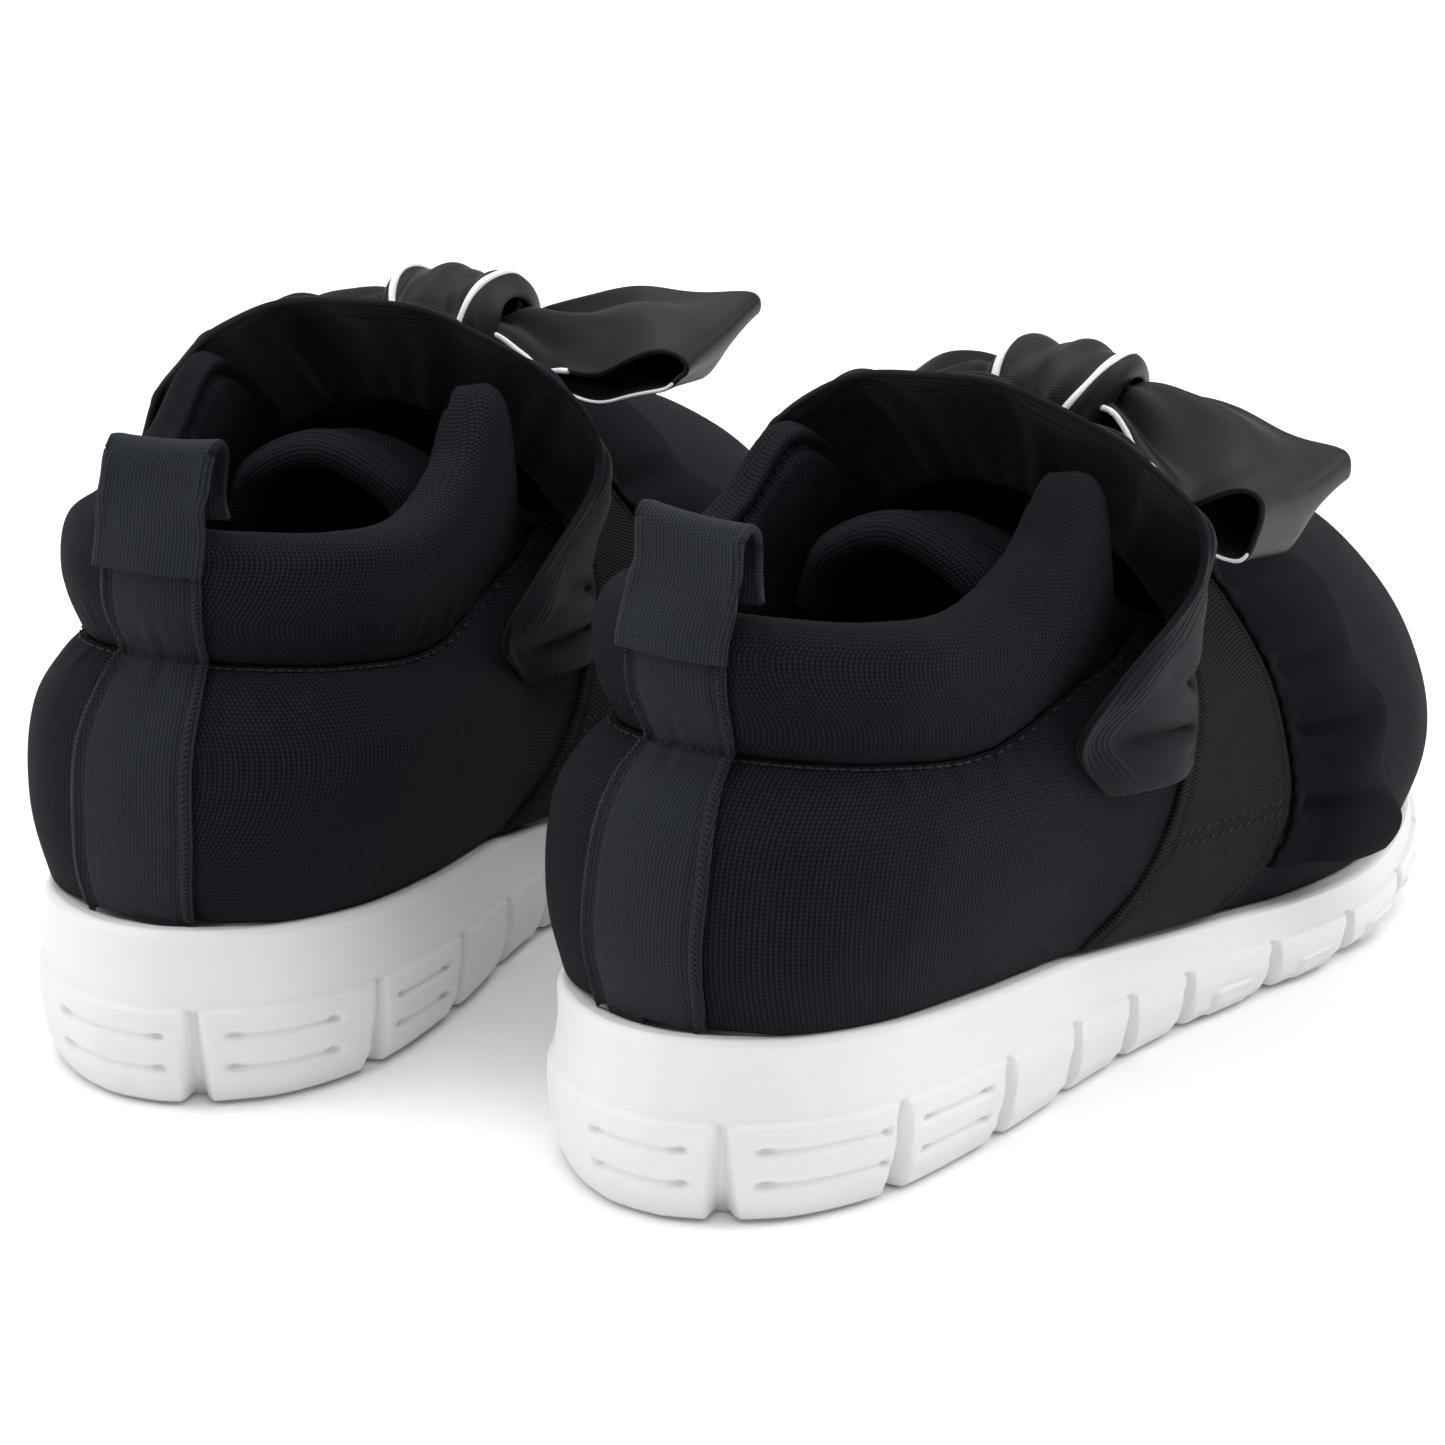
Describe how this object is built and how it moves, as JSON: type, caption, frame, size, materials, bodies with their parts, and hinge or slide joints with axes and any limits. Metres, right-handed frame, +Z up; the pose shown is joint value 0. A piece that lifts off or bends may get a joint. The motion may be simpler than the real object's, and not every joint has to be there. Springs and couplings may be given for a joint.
{
  "type": "slip-on sneaker pair",
  "caption": "Pair of low slip-on sneakers with padded collars, ribbed instep straps, ruffles, bows, heel pull loops and lugged flexible soles.",
  "frame": {"origin": "ground level, at the centre of the pair's bounding box", "axes": "+Z up, +Y towards the toes, +X towards the right shoe's outer side"},
  "size_m": [0.2272, 0.2282, 0.1201],
  "materials": {
    "knit": "bonded knit over foam, near-black navy, matt",
    "ribbed": "woven elastic with fine crosswise ribs, black",
    "satin": "twill-backed satin ribbon, black, soft sheen",
    "lining": "brushed knit lining, black",
    "eva": "moulded foam, off-white, satin",
    "outsole": "moulded rubber, off-white, ribbed",
    "board": "stitched fibre board",
    "stiffener": "thermoplastic stiffener",
    "foam": "open-cell foam"
  },
  "bodies": {
    "right_shoe": {"right_midsole_rear": "eva", "right_heel_outsole_pad": "outsole", "right_forefoot_outsole_pad": "outsole", "right_strobel_board": "board", "right_insole": "lining", "right_quarter_lateral": "knit", "right_quarter_medial": "knit", "right_side_gore_lateral": "ribbed", "right_side_gore_medial": "ribbed", "right_heel_counter": "stiffener", "right_quarter_lining": "lining", "right_collar_cover": "knit", "right_collar_foam": "foam", "right_heel_tape": "knit", "right_tongue": "knit", "right_instep_strap": "ribbed", "right_rear_ruffle": "knit", "right_front_ruffle": "knit", "right_bow_wing_lateral": "satin", "right_bow_wing_medial": "satin", "right_bow_knot": "satin"},
    "right_toe": {"right_midsole_toe": "eva", "right_toe_outsole_pad": "outsole", "right_toe_puff": "stiffener", "right_vamp": "knit", "right_vamp_lining": "lining"},
    "right_pull_loop": {"right_pull_loop": "knit"},
    "left_shoe": {"left_midsole_rear": "eva", "left_heel_outsole_pad": "outsole", "left_forefoot_outsole_pad": "outsole", "left_strobel_board": "board", "left_insole": "lining", "left_quarter_lateral": "knit", "left_quarter_medial": "knit", "left_side_gore_lateral": "ribbed", "left_side_gore_medial": "ribbed", "left_heel_counter": "stiffener", "left_quarter_lining": "lining", "left_collar_cover": "knit", "left_collar_foam": "foam", "left_heel_tape": "knit", "left_tongue": "knit", "left_instep_strap": "ribbed", "left_rear_ruffle": "knit", "left_front_ruffle": "knit", "left_bow_wing_lateral": "satin", "left_bow_wing_medial": "satin", "left_bow_knot": "satin"},
    "left_toe": {"left_midsole_toe": "eva", "left_toe_outsole_pad": "outsole", "left_toe_puff": "stiffener", "left_vamp": "knit", "left_vamp_lining": "lining"},
    "left_pull_loop": {"left_pull_loop": "knit"}
  },
  "joints": [
    {"name": "right_toe_flex", "type": "hinge", "parent": "right_shoe", "child": "right_toe", "pos_m": [0.06028, 0.04611, 0.015], "axis": [0.9962, -0.0872, 0], "range_deg": [0, 35], "stiffness_Nm_per_rad": 1.2, "deforming": ["right_vamp", "right_vamp_lining", "right_front_ruffle", "right_insole", "right_strobel_board"]},
    {"name": "right_pull_loop_tilt", "type": "hinge", "parent": "right_shoe", "child": "right_pull_loop", "pos_m": [0.04838, -0.09088, 0.0952], "axis": [-0.9962, 0.0872, 0], "range_deg": [-30, 60], "stiffness_Nm_per_rad": 0.01},
    {"name": "left_toe_flex", "type": "hinge", "parent": "left_shoe", "child": "left_toe", "pos_m": [-0.06028, 0.04251, 0.015], "axis": [0.9962, 0.0872, 0], "range_deg": [0, 35], "stiffness_Nm_per_rad": 1.2, "deforming": ["left_vamp", "left_vamp_lining", "left_front_ruffle", "left_insole", "left_strobel_board"]},
    {"name": "left_pull_loop_tilt", "type": "hinge", "parent": "left_shoe", "child": "left_pull_loop", "pos_m": [-0.04838, -0.09448, 0.0952], "axis": [-0.9962, -0.0872, 0], "range_deg": [-30, 60], "stiffness_Nm_per_rad": 0.01},
    {"name": "set_apart", "type": "slide", "parent": "right_shoe", "child": "left_shoe", "axis": [-1, 0, 0], "range_m": [0, 0.2]}
  ]
}
